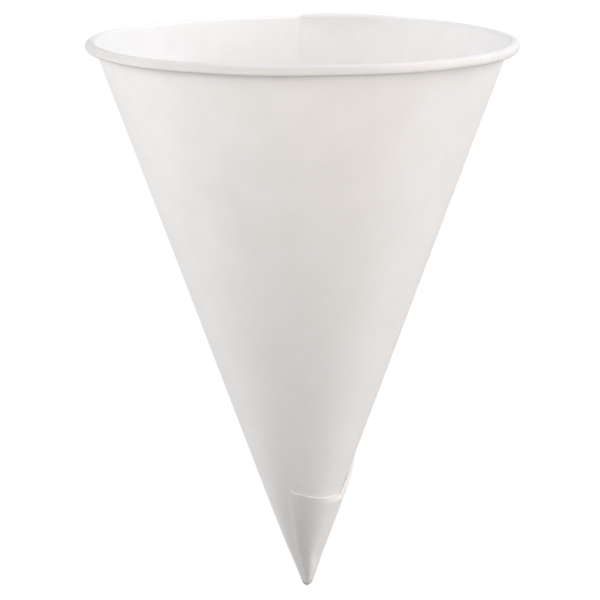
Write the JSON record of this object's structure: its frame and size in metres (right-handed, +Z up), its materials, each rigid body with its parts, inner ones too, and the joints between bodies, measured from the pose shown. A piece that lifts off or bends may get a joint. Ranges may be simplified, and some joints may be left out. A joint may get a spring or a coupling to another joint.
{
  "type": "cone paper cup",
  "caption": "White paper drinking cup wound from a sheet into a cone, with a lapped seam, a pinched tip and a rolled rim at the mouth.",
  "frame": {"origin": "centre of the ring on which the rolled rim rests, with the cup standing mouth down", "axes": "+Z up along the cone's axis to the tip, -Y towards the viewer's side of the picture, and +Y to where the inner edge of the lapped seam leaves the rim"},
  "size_m": [0.0731, 0.0732, 0.0925],
  "materials": {
    "paper": "bleached, matt and uncoated"
  },
  "bodies": {
    "root": {"cone_cup": "paper"}
  },
  "joints": []
}
